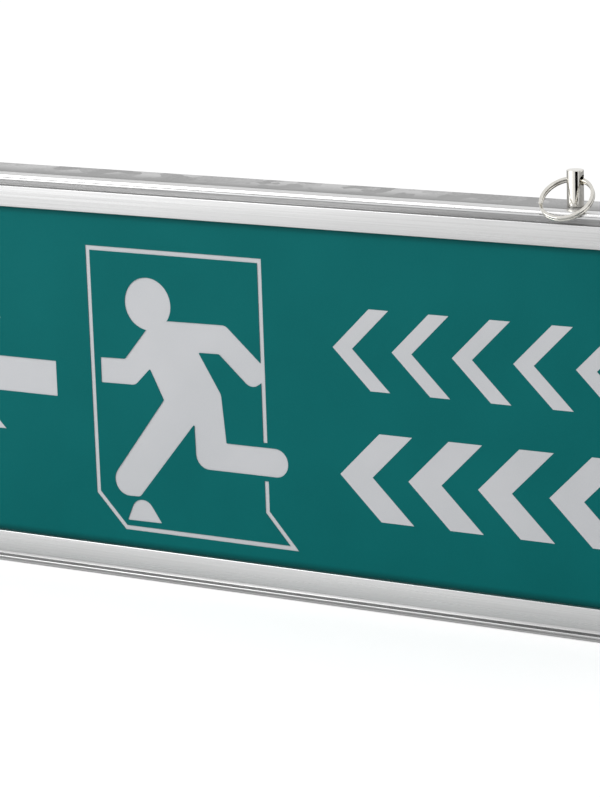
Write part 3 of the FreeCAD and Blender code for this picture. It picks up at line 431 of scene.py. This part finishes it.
for part in frame["record"]["subparts"]:
    cad_mesh = nodes[part["node"]].data
    cad_mesh.materials.clear()
    cad_mesh.materials.append(FINISHES[part["material_slot"]])


# ------------------------------------------------------- bezel, casing, fixings
def from_edge(point):
    """How far a point of the face lies inside the sign's outline."""
    return min(point.z, sign_height - point.z, half_length - abs(point.x))


def bezel_rail(side, material, shaded):
    """Rail with its ridge rounded over, and painted shade inside its groove if a shaded material
    is given.
    """
    rail = dressed(f"bezel_{side}_rail", "sign", material, edge_soft)
    rail.data.materials.append(shaded or material)
    take(rail)
    bpy.ops.object.mode_set(mode="EDIT")
    for x in (-half_length, half_length):
        for z in (0.0, sign_height):
            pick(rail, "verts", lambda vert: vert.co.y < face_front + ridge_round
                 and max(abs(vert.co.x - x), abs(vert.co.z - z)) < ridge_round)
            bpy.ops.transform.resize(value=(ridge_spread, 1, ridge_spread),
                                     center_override=(x, 0, z))
    # faces inside the groove take the material with the painted shade
    pick(rail, "faces", lambda face: groove_from < from_edge(face.calc_center_median()) < groove_to
         and face.calc_center_median().y > face_front + groove_mouth)
    rail.active_material_index = 1
    bpy.ops.object.material_slot_assign()
    bpy.ops.object.mode_set(mode="OBJECT")


bezel_rail("top", aluminium_long, groove_long)
bezel_rail("bottom", aluminium_long, None)
for side in ("left", "right"):
    bezel_rail(side, aluminium_tall, groove_tall)
for name in ("housing_tray", "top_channel"):
    dressed(name, "sign", FINISHES["galvanised_steel"])
dressed("back_cover", "sign", zinc_cover)


def turned(name, radius, low, high, x, soft=0.0):
    """Upright round bar with softened rims."""
    start_clean()
    bpy.ops.mesh.primitive_cylinder_add(vertices=96, radius=radius, depth=high - low,
                                        location=(x, 0, (high + low) / 2))
    bar = bpy.context.active_object
    bar.name = name
    settle(bar)
    soften(bar, soft, segments=3, weighted=True)
    return bar


def suspension_pin(side):
    """Turned pin with a cross eye for the ring, and its stud below the top of the case."""
    low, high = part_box(f"suspension_pin_{side}")
    x, radius = (low.x + high.x) / 2, (high.x - low.x) / 2
    pin = turned(f"suspension_pin_{side}_turned", radius, sign_height, high.z, x, pin_rim)
    start_clean()
    bpy.ops.mesh.primitive_cylinder_add(vertices=64, radius=eye_radius, depth=radius * 4,
                                        location=(x, 0, eye_level), rotation=(0, math.pi / 2, 0))
    drill = bpy.context.active_object
    settle(drill)
    take(pin)
    cut = pin.modifiers.new("eye", "BOOLEAN")
    cut.operation = "DIFFERENCE"
    cut.object = drill
    cut.solver = "EXACT"
    bpy.ops.object.modifier_apply(modifier=cut.name)
    bpy.data.objects.remove(drill)
    soften(pin, edge_soft, weighted=True)
    stud = turned("stud", stud_radius, low.z, sign_height, x, edge_soft)
    take(pin)
    stud.select_set(True)
    bpy.ops.object.join()
    finished(pin, "sign", FINISHES["nickel_plate"])
    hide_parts(f"suspension_pin_{side}")


for side in ("left", "right"):
    suspension_pin(side)
    dressed(f"split_ring_{side}", f"ring_{side}", FINISHES["nickel_plate"])
dressed("cable_grommet", "sign", FINISHES["black_rubber"])
dressed("button_bush", "sign", FINISHES["black_nylon"])
dressed("test_button", "button", FINISHES["button_red"])
dressed("charge_lamp", "sign", FINISHES["lamp_green"])
dressed("cover_screws", "sign", FINISHES["screw_steel"])


# ------------------------------------------------------------- direction marks
def direction_mark(name, nose, low, high, stroke):
    """Chevron that points to -X, cut from thin opal vinyl and laid on the film."""
    start_clean()
    half = (high - low) / 2
    wide = stroke * math.sqrt(2)
    front = film_front - mark_lift
    bpy.ops.mesh.primitive_plane_add(size=1.0, location=(nose + wide / 2, front, low + half * 1.5),
                                     rotation=(math.pi / 2, 0, 0))
    mark = bpy.context.active_object
    mark.name = name
    mark.scale = (wide, half, 1.0)
    settle(mark)
    bpy.ops.object.mode_set(mode="EDIT")
    pick(mark, "edges", lambda edge: all(v.co.z > high - stroke * 0.01 for v in edge.verts))
    bpy.ops.transform.translate(value=(half, 0, 0))
    pick(mark, "edges", lambda edge: all(v.co.z < low + half * 1.01 for v in edge.verts))
    bpy.ops.mesh.extrude_region_move(TRANSFORM_OT_translate={"value": (half, 0, -half)})
    bpy.ops.mesh.select_all(action="SELECT")
    bpy.ops.mesh.extrude_region_move(TRANSFORM_OT_translate={"value": (0, -mark_thickness, 0)})
    bpy.ops.mesh.select_all(action="SELECT")
    bpy.ops.mesh.normals_make_consistent(inside=False)
    bpy.ops.object.mode_set(mode="OBJECT")
    return finished(mark, "sign", FINISHES["opal_acrylic"])


def mark_row(name, row):
    """Marks spread evenly from the row's left to its right."""
    reach = (row["high"] - row["low"]) / 2 + row["stroke"] * math.sqrt(2)
    pitch = (row["right"] - row["left"] - reach) / (row["count"] - 1)
    for i in range(row["count"]):
        direction_mark(f"{name}_{i + 1}", row["left"] + i * pitch, row["low"], row["high"],
                       row["stroke"])


mark_row("upper_mark", upper_marks)
mark_row("lower_mark", lower_marks)


# ------------------------------------------------------------- floor and light
def seen_white(tree, direct, mirrored):
    """One strength for rays from the camera or a glass, one in a mirror, and 0 for the rest."""
    path = tree.nodes.new("ShaderNodeLightPath")
    straight = larger(tree, path.outputs["Is Camera Ray"], path.outputs["Is Transmission Ray"])
    return larger(tree, product(tree, straight, direct),
                  product(tree, path.outputs["Is Glossy Ray"], mirrored))


floor_colour = grey(228)
world_light = 0.52

start_clean()
bpy.ops.mesh.primitive_plane_add(size=16.0, location=(0, 0, -0.0001))
floor = bpy.context.active_object
floor.name = "floor"
floor_material = bpy.data.materials.new("pale_floor")
floor_material.use_nodes = True
floor_tree = floor_material.node_tree
floor_surface = floor_tree.nodes["Principled BSDF"]
floor_surface.inputs["Base Color"].default_value = floor_colour
floor_surface.inputs["Roughness"].default_value = 0.9
floor_surface.inputs["Specular IOR Level"].default_value = 0.0
floor_surface.inputs["Emission Color"].default_value = grey(255)
spot = node(floor_tree, "ShaderNodeTexCoord").outputs["Object"]
place = node(floor_tree, "ShaderNodeSeparateXYZ", Vector=spot)
distance = node(floor_tree, "ShaderNodeVectorMath", {"operation": "LENGTH"},
                i0=spot).outputs["Value"]
direct = ramp(floor_tree, distance, 0.2, 1.4, 0.44, 0.64)
away = ramp(floor_tree, place.outputs["Y"], -0.10, -0.45)
leftward = ramp(floor_tree, place.outputs["X"], 0.10, -0.55, 0.4, 1.1)
mirrored = product(floor_tree, away, leftward)
glow = seen_white(floor_tree, direct, mirrored)
floor_tree.links.new(glow, floor_surface.inputs["Emission Strength"])
floor.data.materials.append(floor_material)

world = bpy.data.worlds.new("studio")
bpy.context.scene.world = world
world.use_nodes = True
sky = world.node_tree
strength = node(sky, "ShaderNodeMapRange", Value=seen_white(sky, 1.0, 1.0), To_Min=world_light,
                To_Max=1.0)
background = sky.nodes["Background"]
background.inputs["Color"].default_value = grey(255)
sky.links.new(strength.outputs["Result"], background.inputs["Strength"])


def dark_card(name, place, target, width, height):
    """Black card for the polished metal to mirror; it throws no shadow and isn't seen."""
    start_clean()
    bpy.ops.mesh.primitive_plane_add(size=1.0, location=place)
    card = bpy.context.active_object
    card.name = name
    card.scale = (width, height, 1.0)
    card.rotation_euler = (Vector(target) - Vector(place)).to_track_quat("Z", "Y").to_euler()
    card.data.materials.append(black_card)
    card.visible_camera = card.visible_diffuse = card.visible_shadow = False
    card.visible_transmission = False


black_card = bpy.data.materials.new("black_card")
black_card.use_nodes = True
black_card.node_tree.nodes["Principled BSDF"].inputs["Base Color"].default_value = grey(12)
black_card.node_tree.nodes["Principled BSDF"].inputs["Specular IOR Level"].default_value = 0.0
dark_card("front_card", (0.417, -0.335, 0.085), (0.135, 0, 0.085), 0.30, 0.17)


def softbox(name, place, target, size, power):
    """Square lamp at a place, turned to a target."""
    data = bpy.data.lights.new(name, "AREA")
    data.shape = "SQUARE"
    data.size = size
    data.energy = power
    lamp = bpy.data.objects.new(name, data)
    lamp.location = place
    lamp.rotation_euler = (Vector(target) - Vector(place)).to_track_quat("-Z", "Y").to_euler()
    bpy.context.collection.objects.link(lamp)


softbox("key_light", (-0.62, -0.80, 0.75), (-0.05, 0, 0.12), 0.9, 8.0)
softbox("fill_light", (1.4, -0.9, 1.2), (0, 0, 0.1), 1.0, 3.0)

# --------------------------------------------------------------------- camera
camera_data = bpy.data.cameras.new("camera")
camera_data.lens = camera_lens
camera_data.sensor_width = sensor_size
camera_data.sensor_fit = "AUTO"
camera_data.clip_start = 0.01
camera_data.clip_end = 100.0
camera = bpy.data.objects.new("camera", camera_data)
turn = Matrix((camera_right, camera_up, camera_back)).transposed().to_4x4()
camera.matrix_world = Matrix.Translation(camera_place) @ turn
bpy.context.collection.objects.link(camera)
bpy.context.scene.camera = camera

bpy.context.scene.view_settings.view_transform = "Standard"
